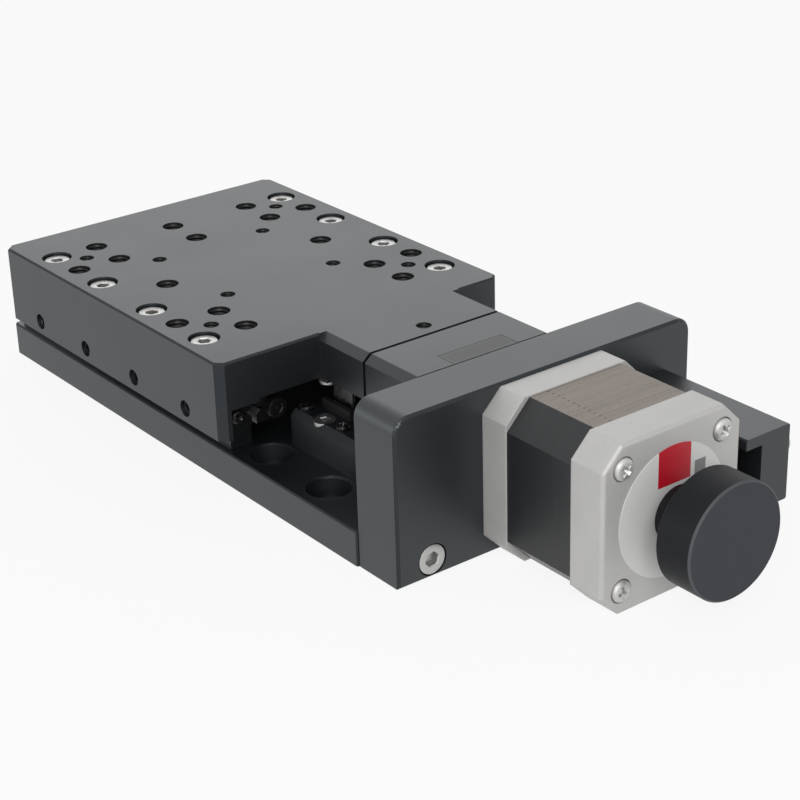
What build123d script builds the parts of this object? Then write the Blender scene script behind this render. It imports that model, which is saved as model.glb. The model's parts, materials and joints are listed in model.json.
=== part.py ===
from build123d import *
import os

# Motorised crossed-roller linear stage. Units are mm, +Z is up, +X runs along the travel towards
# the motor. The origin is on the underside, below the centre of the table's hole pattern, with
# the table at the motor end of its travel.

# ---- table -------------------------------------------------------------------------------------
TABLE_START = -55.0
TABLE_LENGTH = 109.2
TABLE_WIDTH = 89.0
TABLE_TOP = 44.25
PLATE_THICK = 13.0
WALL_DROP = 8.0
UNDERSIDE_RELIEF = 1.0
TABLE_CORNER = 2.0
EDGE_BREAK = 0.5
HOLE_GRID = 12.5
TAP_DEPTH = 10.0
M4_OUTER = 31.5
M4_INNER = 17.0
TONGUE_HOLE_X = 67.4
TONGUE_HOLE_Y = 8.5

# ---- tongue of the table and the neck that faces it ----------------------------------------------
NECK_TOP_Y0 = -12.0
NECK_TOP_Y1 = 28.3
BEVEL_WIDE = 2.2
BEVEL_DEEP = 1.9
TONGUE_END = 72.05
TONGUE_GAP = 1.0
NECK_LENGTH = 18.0

# ---- base --------------------------------------------------------------------------------------
BASE_START = -81.0
BASE_HALF_WIDTH = 31.7
BASE_THICK = 9.5
BASE_CORNER = 0.7
BASE_EDGE = 0.4
FOOT_HOLE_X = (-68.0, 43.0, 68.0)
FOOT_HOLE_Y = 23.0
FOOT_HOLE_R = 3.3
FOOT_BORE_R = 6.0
FOOT_BORE_DEEP = 5.6
RIDGE_START = -79.0
RIDGE_END = 34.0
RIDGE_SET_BACK = 2.0

# ---- flange of the motor bracket -------------------------------------------------------------------
FLANGE_THICK = 15.65
FLANGE_SIDE = 31.3
FLANGE_REACH = 62.7
FLANGE_CORNER = 4.5
FLANGE_LIFT = 0.2
FLANGE_EDGE = 0.7

# ---- crossed-roller guides ---------------------------------------------------------------------------
RAIL_SET_WIDTH = 18.0
RAIL_WIDTH = 8.3
RAIL_HEIGHT = 8.0
RAIL_HOLE_LINE = 37.5
RAIL_HOLE_INSET = 3.7
RAIL_PITCH = 25.0
RAIL_SCREW_LENGTH = 12.0
OUTER_END_SCREW = 4.0
INNER_END_SCREW = 6.0
OUTER_RAIL_LENGTH = 100.0
INNER_RAIL_START = -61.0
INNER_RAIL_END = 50.0
RACE_SIDE = 3.0
RACE_RELIEF = 0.6
ROLLER_PLAY = 0.02
ROLLER_LENGTH = 2.8
ROLLER_PITCH = 5.0
ROLLER_COUNT = 12
ROLLER_END_PLAY = 0.4
CAGE_THICK = 0.5
CAGE_HEIGHT = 6.6
CAGE_MARGIN = 2.2
CAGE_WINDOW_PLAY = 0.12
TRAVEL = 50.0

# ---- drive -------------------------------------------------------------------------------------
AXIS_Y = 16.27
AXIS_Z = 21.9
SCREW_R = 4.0
SCREW_JOURNAL_R = 3.0
SCREW_END_R = 2.5
NUT_PLAY = 0.1
NUT_BARREL_R = 5.1
NUT_FLANGE_R = 6.3
NUT_FLANGE_THICK = 3.0
NUT_START = 38.0
NUT_END = 55.0
LUG_START = 44.0
LUG_THICK = 8.0
LUG_HALF_WIDTH = 6.4
LUG_BELOW_AXIS = 6.6
PAD_REACH = 12.0
PAD_THICK = 5.0
PAD_OVERHANG = 4.0
PAD_SCREW_STEP = 4.5
PAD_SCREW_BITE = 5.5
NUT_FLANGE_PLAY = 0.3
BEARING_R = 6.5
BEARING_BORE_R = 3.0
BEARING_WIDTH = 5.0
BEARING_SHOULDER = 1.5
BEARING_HOLE_R = 5.2
BALL_SPACE = 1.0
RING_RELIEF = 1.9
RELIEF_DEEP = 0.5
SEAT_PLAY = 0.05
LOCK_RING_THICK = 2.5
LOCK_RING_LAND = 1.2
LOCK_NUT_STEP = 2.0
COUPLING_R = 8.0
COUPLING_PLAY = 0.8
COUPLING_HUB = 6.0
COUPLING_DISC = 3.0
COUPLING_TONGUE = 3.0
COUPLING_TONGUE_DEEP = 1.0
COUPLING_START = 88.4
DISC_BORE_PLAY = 0.6
SCREW_TAIL = 93.6
SCREW_END_GAP = 0.6
END_BLOCK_START = -80.6
END_BLOCK_THICK = 5.8
END_BLOCK_HALF_WIDTH = 9.2
END_BLOCK_TOP = 30.5
END_BLOCK_BEVEL = 2.5
END_BLOCK_SINK = 4.6
END_BLOCK_BITE = 5.0
END_SCREW_GAP = 2.1
END_BEARING_R = 5.5
END_BEARING_WIDTH = 4.0

# ---- motor -------------------------------------------------------------------------------------
MOTOR_SQUARE = 43.2
MOTOR_CORNER = 5.6
FRONT_BELL = 8.5
STATOR_LENGTH = 22.3
REAR_BELL = 10.5
STATOR_INSET = 0.25
STATOR_CORNER = 7.0
PILOT_R = 11.0
PILOT_DEEP = 2.0
MOTOR_BOLT_SPACING = 31.0
MOTOR_BOLT_REACH = 8.0
MOTOR_BOLT_SINK = 1.1
REAR_BELL_ROUND = 1.0
BELL_POCKET_R = 17.0
FRONT_POCKET_DEEP = 3.0
REAR_POCKET_DEEP = 3.6
BELL_HOLE_R = 3.2
MOTOR_BEARING_WIDTH = 4.0
FRONT_SEAT_IN = 1.5
REAR_SEAT_IN = 2.8
SHAFT_R = 2.5
SHAFT_START = 97.6
ROTOR_R = 12.0
AIR_GAP = 0.35
ROTOR_MARGIN = 1.6
REAR_BOSS_R = 5.0
REAR_BOSS_HIGH = 0.8
LABEL_R = 16.6
LABEL_THICK = 0.2
KNOB_R = 14.6
KNOB_START = 157.4
KNOB_LENGTH = 10.6
KNOB_EDGE = 0.5
SHAFT_IN_KNOB = 7.4
KNOB_GRUB_R = 1.5
KNOB_GRUB_SINK = 0.6
KNOB_HUB_R = 7.0
KNOB_HUB_START = 149.6

# ---- connector box ---------------------------------------------------------------------------------
BOX_Y0 = 39.9
BOX_Y1 = 54.6
BOX_Z0 = 11.9
BOX_Z1 = 31.9
BOX_LENGTH = 41.5
BOX_WALL = 2.0
BOX_EDGE = 0.4
BOX_FLANGE_WALL = 8.0
BOX_SCREW_INSET = 4.5
BOX_SCREW_BITE = 5.5
COVER_SCREW_BITE = 4.8
TAP_SPARE = 0.5
SIDE_SCREW_IN = 11.0
SIDE_SCREW_OUT = 3.6
SIDE_SCREW_Z = 25.4
SOCKET_RECESS = 9.0
SOCKET_RECESS_Y1 = 45.2
SOCKET_RECESS_Z0 = 14.6
SOCKET_RECESS_Z1 = 29.1
SOCKET_LENGTH = 12.0
SOCKET_WALL = 0.7
SOCKET_DEPTH = 7.0
PIN_SIDE = 0.64
PIN_PITCH = 2.0
PIN_ROWS = 5
PIN_LENGTH = 6.0

# ---- limit sensors -----------------------------------------------------------------------------------
LIMIT_BLOCK_Y0 = -16.0
LIMIT_BLOCK_Y1 = -9.0
LIMIT_BLOCK_TOP = 19.6
LIMIT_BLOCK_START = 42.0
LIMIT_BLOCK_BEVEL = 1.6
LIMIT_SCREW_X = 52.4
LIMIT_SCREW_Y = -12.6
LIMIT_SCREW_SINK = 4.2
LIMIT_HEAD_TRIM = 0.5
SMALL_SCREW_STEP = 7.9
SMALL_SCREW_LENGTH = 6.0
SENSOR_LENGTH = 12.0
SENSOR_DEEP = 5.6
SENSOR_Z0 = 12.0
SENSOR_Z1 = 22.4
SENSOR_SLOT = 2.6
SENSOR_FLOOR = 2.4
REAR_BLOCK_LENGTH = 18.0
FLAG_THICK = 0.8
FLAG_LENGTH = 8.0
FLAG_TIP_Z = 16.0
FLAG_FOOT = 8.0
FLAG_FOOT_THICK = 1.0
FLAG_SCREW_IN = 1.6
FLAG_HEAD = 1.8
FLAG_SCREW_LENGTH = 6.0

# ---- name plate ----------------------------------------------------------------------------------
PLATE_X = 87.9
PLATE_Y = 9.1
PLATE_LONG = 20.2
PLATE_WIDE = 6.6
PLATE_RECESS = 0.3
PLATE_PLAY = 0.1

# ---- fasteners: shank radius, head radius and head height --------------------------------------------
THREAD_PLAY = 0.05
BORE_PLAY = 0.6
SNUG_BORE_PLAY = 0.25
CAP_M5 = dict(shank=2.5, head=3.95, height=4.7)
CAP_M4 = dict(shank=2.0, head=3.5, height=4.0)
CAP_M3 = dict(shank=1.5, head=2.75, height=3.0)
PAN_M3 = dict(shank=1.5, head=2.8, height=2.1)
PAN_M2 = dict(shank=1.0, head=1.9, height=1.4)
M6_R = 3.0
M4_R = 2.0
TABLE_SCREW_SINK = 5.2
TABLE_SCREW_LENGTH = 14.0
SET_SCREW_R = 2.2
SET_SCREW_DROP = 0.25
SET_SCREW_RECESS = 0.8
SCREW_BITE = 6.0
FLANGE_SCREW_Y = (-21.0, 10.0, 24.0)
FLANGE_SCREW_Z = 4.86
FLANGE_SCREW_SINK = 4.8
FLANGE_SCREW_BITE = 8.0

# ---- sizes that follow from the ones above -----------------------------------------------------------
TABLE_X1 = TABLE_START + TABLE_LENGTH
TABLE_Y1 = TABLE_WIDTH / 2
RAIL_TOP = TABLE_TOP - PLATE_THICK
RAIL_BOTTOM = RAIL_TOP - RAIL_HEIGHT
RAIL_MID = (RAIL_TOP + RAIL_BOTTOM) / 2
UNDERSIDE = RAIL_TOP + UNDERSIDE_RELIEF
OUTER_RAIL_Y1 = RAIL_HOLE_LINE + RAIL_HOLE_INSET
OUTER_RAIL_Y0 = OUTER_RAIL_Y1 - RAIL_WIDTH
INNER_RAIL_Y0 = OUTER_RAIL_Y1 - RAIL_SET_WIDTH
INNER_RAIL_Y1 = INNER_RAIL_Y0 + RAIL_WIDTH
INNER_HOLE_LINE = INNER_RAIL_Y0 + RAIL_HOLE_INSET
RACE_Y = (OUTER_RAIL_Y0 + INNER_RAIL_Y1) / 2
TONGUE_Y0 = NECK_TOP_Y0 - BEVEL_WIDE
TONGUE_Y1 = NECK_TOP_Y1 + BEVEL_WIDE
NECK_START = TONGUE_END + TONGUE_GAP
FLANGE_START = NECK_START + NECK_LENGTH
FLANGE_END = FLANGE_START + FLANGE_THICK
STATOR_START = FLANGE_END + FRONT_BELL
STATOR_END = STATOR_START + STATOR_LENGTH
MOTOR_END = STATOR_END + REAR_BELL
BEARING_START = NECK_START + BEARING_SHOULDER
BEARING_END = BEARING_START + 2 * BEARING_WIDTH
CAGE_LENGTH = (ROLLER_COUNT - 1) * ROLLER_PITCH + RACE_SIDE + 2 * CAGE_MARGIN
CAGE_CENTRE = (OUTER_RAIL_LENGTH - TRAVEL) / 2 - CAGE_LENGTH / 2
END_BLOCK_END = END_BLOCK_START + END_BLOCK_THICK
UNDER_HEAD = TABLE_TOP - TABLE_SCREW_SINK
BOLT_OFFSET = MOTOR_BOLT_SPACING / 2
SET_SCREW_Z = RAIL_MID - SET_SCREW_DROP
COUPLING_BORE_R = COUPLING_R + COUPLING_PLAY
SIDES = {"left": -1, "right": 1}


def block(x0, x1, y0, y1, z0, z1):
    """A box between two corners."""
    centre = Pos((x0 + x1) / 2, (y0 + y1) / 2, (z0 + z1) / 2)
    return centre * Box(x1 - x0, y1 - y0, z1 - z0)


def rod(radius, x0, x1, y=AXIS_Y, z=AXIS_Z):
    """A cylinder along X."""
    return Pos((x0 + x1) / 2, y, z) * Rot(0, 90, 0) * Cylinder(radius, abs(x1 - x0))


def post(radius, x, y, z0, z1):
    """A cylinder along Z."""
    return Pos(x, y, (z0 + z1) / 2) * Cylinder(radius, z1 - z0)


def tube(outer, inner, x0, x1):
    """A ring around the drive axis."""
    return rod(outer, x0, x1) - rod(inner, x0, x1)


def screw(size, length):
    """A screw with its seat at the origin and its head upwards."""
    outline = Polyline((0, -length), (size["shank"], -length), (size["shank"], 0), (size["head"], 0),
                       (size["head"], size["height"]), (0, size["height"]), close=True)
    return revolve(Plane.XZ * make_face(outline), Axis.Z)


def facing(direction):
    """The turn that points a screw's head along an axis."""
    return {"+x": Rot(0, 90, 0), "-x": Rot(0, -90, 0), "+y": Rot(-90, 0, 0), "-y": Rot(90, 0, 0),
            "+z": Rot(0, 0, 0), "-z": Rot(180, 0, 0)}[direction]


def save(name, *pieces):
    """Write one node, as one solid or as a group of separate solids."""
    solids = [solid for piece in pieces for solid in piece.solids()]
    shape = solids[0] if len(solids) == 1 else Compound(children=solids)
    export_step(shape, f"parts/{name}.step")


def table_screw_places():
    """The screws that hold the outer rails, on the rails' own pitch."""
    return [((step - 1.5) * RAIL_PITCH, side * RAIL_HOLE_LINE) for side in (-1, 1) for step in range(4)]


def table_m6_places():
    u = HOLE_GRID
    corners = [(i * u, j * u) for i in (-2, 2) for j in (-2, 2)]
    corners += [(i * u, j * u) for i in (-3, 3) for j in (-2, 2)]
    corners += [(i * u, j * u) for i in (-2, 2) for j in (-3, 3)]
    return corners + [(-3 * u, 0), (-2 * u, 0), (0, -2 * u), (0, 2 * u)]


def bevel_cutter(x0, x1):
    """Cuts the long bevels along the two sides of the tongue and of the neck."""
    cutters = []
    for edge, inward in ((TONGUE_Y0, 1), (TONGUE_Y1, -1)):
        outline = Polyline((edge, TABLE_TOP), (edge + inward * BEVEL_WIDE, TABLE_TOP),
                           (edge, TABLE_TOP - BEVEL_DEEP), close=True)
        face = Plane.YZ.offset(x0) * make_face(outline)
        cutters.append(extrude(face, x1 - x0))
    return cutters


def make_table():
    plate = block(TABLE_START, TABLE_X1, -TABLE_Y1, TABLE_Y1, RAIL_BOTTOM, TABLE_TOP)
    plate = chamfer(plate.edges().filter_by(Axis.Z), TABLE_CORNER)
    plate = chamfer(plate.edges().group_by(Axis.Z)[-1], EDGE_BREAK)
    tongue = block(TABLE_X1 - TABLE_CORNER, TONGUE_END, TONGUE_Y0, TONGUE_Y1, UNDERSIDE, TABLE_TOP)
    table = plate + tongue
    for cutter in bevel_cutter(TABLE_X1, TONGUE_END):
        table -= cutter
    # the open tunnel between the side walls, deeper in the middle than where the rails seat
    table -= block(TABLE_START, TABLE_X1, -OUTER_RAIL_Y1, OUTER_RAIL_Y1, RAIL_BOTTOM, RAIL_TOP)
    table -= block(TABLE_START, TABLE_X1, -OUTER_RAIL_Y0, OUTER_RAIL_Y0, RAIL_TOP, UNDERSIDE)
    for x, y in table_m6_places():
        table -= post(M6_R, x, y, TABLE_TOP - TAP_DEPTH, TABLE_TOP)
    for reach in (M4_INNER, M4_OUTER):
        for x in (-reach, reach):
            for y in (-reach, reach):
                table -= post(M4_R, x, y, TABLE_TOP - TAP_DEPTH, TABLE_TOP)
    table -= post(M4_R, TONGUE_HOLE_X, TONGUE_HOLE_Y, TABLE_TOP - TAP_DEPTH, TABLE_TOP)
    for x, y in table_screw_places():
        table -= post(CAP_M4["head"] + BORE_PLAY, x, y, UNDER_HEAD, TABLE_TOP)
        table -= post(CAP_M4["shank"] + THREAD_PLAY, x, y, RAIL_TOP, UNDER_HEAD)
    for x, y in nut_pad_screw_places() + [flag_screw_place()]:
        table -= post(CAP_M3["shank"] + THREAD_PLAY, x, y, UNDERSIDE, UNDERSIDE + SCREW_BITE)
    for x, _ in table_screw_places()[:4]:
        table -= Pos(x, -TABLE_Y1, SET_SCREW_Z) * Rot(90, 0, 0) * Cylinder(SET_SCREW_R, 2 * WALL_DROP)
    save("carriage_table", table)


def make_table_fasteners():
    cap = screw(CAP_M4, TABLE_SCREW_LENGTH)
    save("table_screws", *[Pos(x, y, UNDER_HEAD) * cap for x, y in table_screw_places()])
    depth = TABLE_Y1 - OUTER_RAIL_Y1 - SET_SCREW_RECESS
    grub = Cylinder(SET_SCREW_R - THREAD_PLAY, depth)
    y = -(OUTER_RAIL_Y1 + depth / 2)
    places = [Pos(x, y, SET_SCREW_Z) for x, _ in table_screw_places()[:4]]
    save("preload_screws", *[place * facing("-y") * grub for place in places])


def race_cutter(side):
    """The square channel that the two V grooves of one guide make, with the slots at their roots."""
    length = 4 * OUTER_RAIL_LENGTH
    channel = Rot(45, 0, 0) * Box(length, RACE_SIDE, RACE_SIDE)
    roots = Box(length, RACE_SIDE * 2 ** 0.5 + 2 * RACE_RELIEF, RACE_RELIEF)
    return Pos(0, side * RACE_Y, RAIL_MID) * (channel + roots)


def make_outer_rails():
    half = OUTER_RAIL_LENGTH / 2
    end_screws = []
    for name, side in SIDES.items():
        y0, y1 = sorted((side * OUTER_RAIL_Y0, side * OUTER_RAIL_Y1))
        rail = block(-half, half, y0, y1, RAIL_BOTTOM, RAIL_TOP) - race_cutter(side)
        foot = UNDER_HEAD - TABLE_SCREW_LENGTH
        for x, y in table_screw_places():
            rail -= post(CAP_M4["shank"] + THREAD_PLAY, x, y, foot, RAIL_TOP)
        for end in (-1, 1):
            y = side * RAIL_HOLE_LINE
            bite = end * (half - OUTER_END_SCREW)
            rail -= rod(PAN_M2["shank"] + THREAD_PLAY, bite, end * half, y, RAIL_MID)
            turn = facing("+x" if end > 0 else "-x")
            end_screws.append(Pos(end * half, y, RAIL_MID) * turn * screw(PAN_M2, OUTER_END_SCREW))
        save(f"outer_rail_{name}", rail)
    save("outer_rail_end_screws", *end_screws)


def inner_screw_xs():
    return [(step - 2) * RAIL_PITCH for step in range(4)]


def make_inner_rails():
    screws = []
    end_screws = []
    for name, side in SIDES.items():
        y0, y1 = sorted((side * INNER_RAIL_Y0, side * INNER_RAIL_Y1))
        rail = block(INNER_RAIL_START, INNER_RAIL_END, y0, y1, RAIL_BOTTOM, RAIL_TOP) - race_cutter(side)
        line = side * INNER_HOLE_LINE
        for x in inner_screw_xs():
            rail -= post(CAP_M3["shank"] + THREAD_PLAY, x, line, RAIL_BOTTOM, RAIL_MID)
            rail -= post(CAP_M3["head"] + SNUG_BORE_PLAY, x, line, RAIL_MID, RAIL_TOP)
            screws.append(Pos(x, line, RAIL_MID) * screw(CAP_M3, RAIL_SCREW_LENGTH))
        for end, direction in ((INNER_RAIL_START, "-x"), (INNER_RAIL_END, "+x")):
            inward = INNER_END_SCREW if direction == "-x" else -INNER_END_SCREW
            rail -= rod(CAP_M3["shank"] + THREAD_PLAY, end, end + inward, line, RAIL_MID)
            place = Pos(end, line, RAIL_MID) * facing(direction)
            end_screws.append(place * screw(CAP_M3, INNER_END_SCREW))
        save(f"inner_rail_{name}", rail)
    save("inner_rail_screws", *screws)
    save("inner_rail_end_screws", *end_screws)


def make_cages():
    radius = RACE_SIDE / 2 - ROLLER_PLAY
    roller = Cylinder(radius, ROLLER_LENGTH)
    window_tall = 2 ** 0.5 * (ROLLER_LENGTH + ROLLER_END_PLAY)
    window = Box(2 * (radius + CAGE_WINDOW_PLAY), 2 * CAGE_THICK, window_tall)
    for name, side in SIDES.items():
        strip = Pos(CAGE_CENTRE, side * RACE_Y, RAIL_MID) * Box(CAGE_LENGTH, CAGE_THICK, CAGE_HEIGHT)
        rollers = []
        for step in range(ROLLER_COUNT):
            x = CAGE_CENTRE + (step - (ROLLER_COUNT - 1) / 2) * ROLLER_PITCH
            place = Pos(x, side * RACE_Y, RAIL_MID)
            strip -= place * window
            # neighbouring rollers lie crossways, so that the guide carries load both ways
            tilt = 45 if step % 2 else -45
            rollers.append(place * Rot(tilt, 0, 0) * roller)
        save(f"roller_cage_{name}", strip)
        save(f"rollers_{name}", *rollers)


def make_base():
    base = block(BASE_START, FLANGE_START, -BASE_HALF_WIDTH, BASE_HALF_WIDTH, 0, BASE_THICK)
    base = chamfer(base.edges().filter_by(Axis.Z).group_by(Axis.X)[0], BASE_CORNER)
    base = chamfer(base.edges().filter_by(Axis.Z).group_by(Axis.X)[-1], BASE_EDGE)
    base = chamfer(base.edges().filter_by(Axis.X).group_by(Axis.Z)[-1], BASE_EDGE)
    for side in SIDES.values():
        y0, y1 = sorted((side * INNER_RAIL_Y0, side * (BASE_HALF_WIDTH - RIDGE_SET_BACK)))
        base += block(RIDGE_START, RIDGE_END, y0, y1, BASE_THICK, RAIL_BOTTOM)
    # room for the bearing block beside the far end of one ridge
    room = END_BLOCK_HALF_WIDTH + BORE_PLAY
    room_end = END_BLOCK_END + BORE_PLAY
    base -= block(BASE_START, room_end, AXIS_Y - room, AXIS_Y + room, BASE_THICK, RAIL_BOTTOM)
    for side in SIDES.values():
        for x in inner_screw_xs():
            bite = RAIL_MID - RAIL_SCREW_LENGTH
            base -= post(CAP_M3["shank"] + THREAD_PLAY, x, side * INNER_HOLE_LINE, bite, RAIL_BOTTOM)
        for x in FOOT_HOLE_X:
            base -= post(FOOT_HOLE_R, x, side * FOOT_HOLE_Y, 0, BASE_THICK)
            base -= post(FOOT_BORE_R, x, side * FOOT_HOLE_Y, BASE_THICK - FOOT_BORE_DEEP, BASE_THICK)
    for y in FLANGE_SCREW_Y:
        bite = FLANGE_START - FLANGE_SCREW_BITE
        base -= rod(CAP_M5["shank"] + THREAD_PLAY, bite, FLANGE_START, y, FLANGE_SCREW_Z)
    for y in end_block_screw_ys():
        bite = BASE_THICK - END_BLOCK_BITE
        base -= post(PAN_M2["shank"] + THREAD_PLAY, end_block_screw_x(), y, bite, BASE_THICK)
    for x, _ in limit_screw_places():
        bite = BASE_THICK - SCREW_BITE
        base -= post(CAP_M4["shank"] + THREAD_PLAY, x, LIMIT_SCREW_Y, bite, BASE_THICK)
    save("base", base)


def make_bracket():
    flange = block(FLANGE_START, FLANGE_END, -FLANGE_SIDE, FLANGE_REACH, FLANGE_LIFT, TABLE_TOP)
    top_corners = flange.edges().filter_by(Axis.X).group_by(Axis.Z)[-1]
    flange = fillet(top_corners, FLANGE_CORNER)
    flange = chamfer(flange.faces().sort_by(Axis.X)[-1].edges(), FLANGE_EDGE)
    flange = chamfer(flange.faces().sort_by(Axis.X)[0].edges().filter_by(Axis.Z), BASE_EDGE)
    neck = block(NECK_START, FLANGE_START, TONGUE_Y0, TONGUE_Y1, BASE_THICK, TABLE_TOP)
    for cutter in bevel_cutter(NECK_START, FLANGE_START):
        neck -= cutter
    bracket = flange + neck
    bracket -= rod(BEARING_HOLE_R, NECK_START, BEARING_START)
    bracket -= rod(BEARING_R + SEAT_PLAY, BEARING_START, BEARING_END)
    bracket -= rod(COUPLING_BORE_R, BEARING_END, FLANGE_END)
    bracket -= rod(PILOT_R, FLANGE_END - PILOT_DEEP, FLANGE_END)
    for y, z in motor_bolt_places():
        bracket -= rod(PAN_M3["shank"] + THREAD_PLAY, FLANGE_END - MOTOR_BOLT_REACH, FLANGE_END, y, z)
    for y in FLANGE_SCREW_Y:
        seat = FLANGE_END - FLANGE_SCREW_SINK
        bracket -= rod(CAP_M5["shank"] + THREAD_PLAY, FLANGE_START, seat, y, FLANGE_SCREW_Z)
        bracket -= rod(CAP_M5["head"] + SNUG_BORE_PLAY, seat, FLANGE_END, y, FLANGE_SCREW_Z)
    for y, z in box_screw_places():
        seat = FLANGE_START + CAP_M3["height"] + SCREW_END_GAP
        bracket -= rod(CAP_M3["shank"] + THREAD_PLAY, seat, FLANGE_END, y, z)
        bracket -= rod(CAP_M3["head"] + SNUG_BORE_PLAY, FLANGE_START, seat, y, z)
    # room for the heads of the foot screws beside the neck
    for side in SIDES.values():
        room = FOOT_BORE_R + BORE_PLAY
        bracket -= post(room, FOOT_HOLE_X[-1], side * FOOT_HOLE_Y, BASE_THICK, RAIL_BOTTOM)
    half_long = PLATE_LONG / 2
    half_wide = PLATE_WIDE / 2
    bracket -= block(PLATE_X - half_wide, PLATE_X + half_wide, PLATE_Y - half_long, PLATE_Y + half_long,
                     TABLE_TOP - PLATE_RECESS, TABLE_TOP)
    save("motor_bracket", bracket)
    seat = FLANGE_END - FLANGE_SCREW_SINK
    cap = screw(CAP_M5, seat - FLANGE_START + FLANGE_SCREW_BITE)
    save("bracket_screws", *[Pos(seat, y, FLANGE_SCREW_Z) * facing("+x") * cap for y in FLANGE_SCREW_Y])
    save("name_plate", Pos(PLATE_X, PLATE_Y, TABLE_TOP - PLATE_RECESS / 2) *
         Box(PLATE_WIDE - 2 * PLATE_PLAY, PLATE_LONG - 2 * PLATE_PLAY, PLATE_RECESS))


def bearing(x0, width, outer, inner):
    """The outer and inner ring of one ball bearing, with the ball space between them."""
    middle = (outer + inner) / 2
    outer_ring = tube(outer, middle + BALL_SPACE / 2, x0, x0 + width)
    inner_ring = tube(middle - BALL_SPACE / 2, inner, x0, x0 + width)
    return outer_ring, inner_ring


def make_bearings():
    pairs = [bearing(BEARING_START + step * BEARING_WIDTH, BEARING_WIDTH, BEARING_R, BEARING_BORE_R)
             for step in range(2)]
    pairs.append(bearing(END_BLOCK_END - END_BEARING_WIDTH, END_BEARING_WIDTH, END_BEARING_R, SCREW_END_R))
    save("screw_bearing_outer_rings", *[outer for outer, _ in pairs])
    save("screw_bearing_inner_rings", *[inner for _, inner in pairs])
    save("bearing_lock_ring", tube(COUPLING_BORE_R - THREAD_PLAY, BEARING_R - LOCK_RING_LAND, BEARING_END,
                                   BEARING_END + LOCK_RING_THICK))
    save("screw_lock_nut", tube(BEARING_R - LOCK_NUT_STEP, SCREW_JOURNAL_R + THREAD_PLAY, BEARING_END,
                                BEARING_END + LOCK_RING_THICK))
    starts = (FLANGE_END + FRONT_SEAT_IN, MOTOR_END - REAR_SEAT_IN - MOTOR_BEARING_WIDTH)
    pairs = [bearing(x0, MOTOR_BEARING_WIDTH, BEARING_R, SHAFT_R) for x0 in starts]
    save("motor_bearing_outer_rings", *[outer for outer, _ in pairs])
    save("motor_bearing_inner_rings", *[inner for _, inner in pairs])


def end_block_screw_x():
    return END_BLOCK_START + END_BLOCK_THICK / 2


def end_block_screw_ys():
    return [AXIS_Y + side * (END_BEARING_R + END_SCREW_GAP) for side in SIDES.values()]


def make_end_block():
    housing = block(END_BLOCK_START, END_BLOCK_END, AXIS_Y - END_BLOCK_HALF_WIDTH,
                    AXIS_Y + END_BLOCK_HALF_WIDTH, BASE_THICK, END_BLOCK_TOP)
    housing = chamfer(housing.edges().filter_by(Axis.X).group_by(Axis.Z)[-1], END_BLOCK_BEVEL)
    housing -= rod(END_BEARING_R + SEAT_PLAY, END_BLOCK_END - END_BEARING_WIDTH, END_BLOCK_END)
    housing -= rod(SCREW_END_R + RING_RELIEF, END_BLOCK_START, END_BLOCK_END)
    seat = END_BLOCK_TOP - END_BLOCK_SINK
    cap = screw(PAN_M2, seat - BASE_THICK + END_BLOCK_BITE)
    screws = []
    for y in end_block_screw_ys():
        housing -= post(PAN_M2["shank"] + THREAD_PLAY, end_block_screw_x(), y, BASE_THICK, seat)
        housing -= post(PAN_M2["head"] + SNUG_BORE_PLAY, end_block_screw_x(), y, seat, END_BLOCK_TOP)
        screws.append(Pos(end_block_screw_x(), y, seat) * cap)
    save("end_bearing_block", housing)
    save("end_block_screws", *screws)


def make_lead_screw():
    shoulder = END_BLOCK_END + SCREW_END_GAP
    shaft = rod(SCREW_R, shoulder, BEARING_START)
    shaft += rod(SCREW_JOURNAL_R, BEARING_START, BEARING_END + LOCK_RING_THICK)
    shaft += rod(SCREW_END_R, BEARING_END, SCREW_TAIL)
    shaft += rod(SCREW_END_R, END_BLOCK_START + SCREW_END_GAP, shoulder)
    save("lead_screw", shaft)


def make_coupling():
    hub_end = COUPLING_START + COUPLING_HUB
    disc_end = hub_end + COUPLING_DISC
    first = tube(COUPLING_R, SCREW_END_R, COUPLING_START, hub_end)
    second = tube(COUPLING_R, SHAFT_R, disc_end, disc_end + COUPLING_HUB)
    disc = tube(COUPLING_R, SCREW_END_R + DISC_BORE_PLAY, hub_end, disc_end)
    half = COUPLING_TONGUE / 2
    first_tongue = block(hub_end, hub_end + COUPLING_TONGUE_DEEP, AXIS_Y - 2 * COUPLING_R,
                         AXIS_Y + 2 * COUPLING_R, AXIS_Z - half, AXIS_Z + half)
    second_tongue = block(disc_end - COUPLING_TONGUE_DEEP, disc_end, AXIS_Y - half, AXIS_Y + half,
                          AXIS_Z - 2 * COUPLING_R, AXIS_Z + 2 * COUPLING_R)
    ring = tube(COUPLING_R, SCREW_END_R + DISC_BORE_PLAY, hub_end, disc_end)
    save("coupling_screw_hub", first + first_tongue.intersect(ring))
    save("coupling_motor_hub", second + second_tongue.intersect(ring))
    save("coupling_disc", disc - first_tongue - second_tongue)


def nut_pad_screw_places():
    x = LUG_START + LUG_THICK / 2
    y = AXIS_Y - LUG_HALF_WIDTH - PAD_REACH / 2
    return [(x - PAD_SCREW_STEP, y), (x + PAD_SCREW_STEP, y)]


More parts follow.
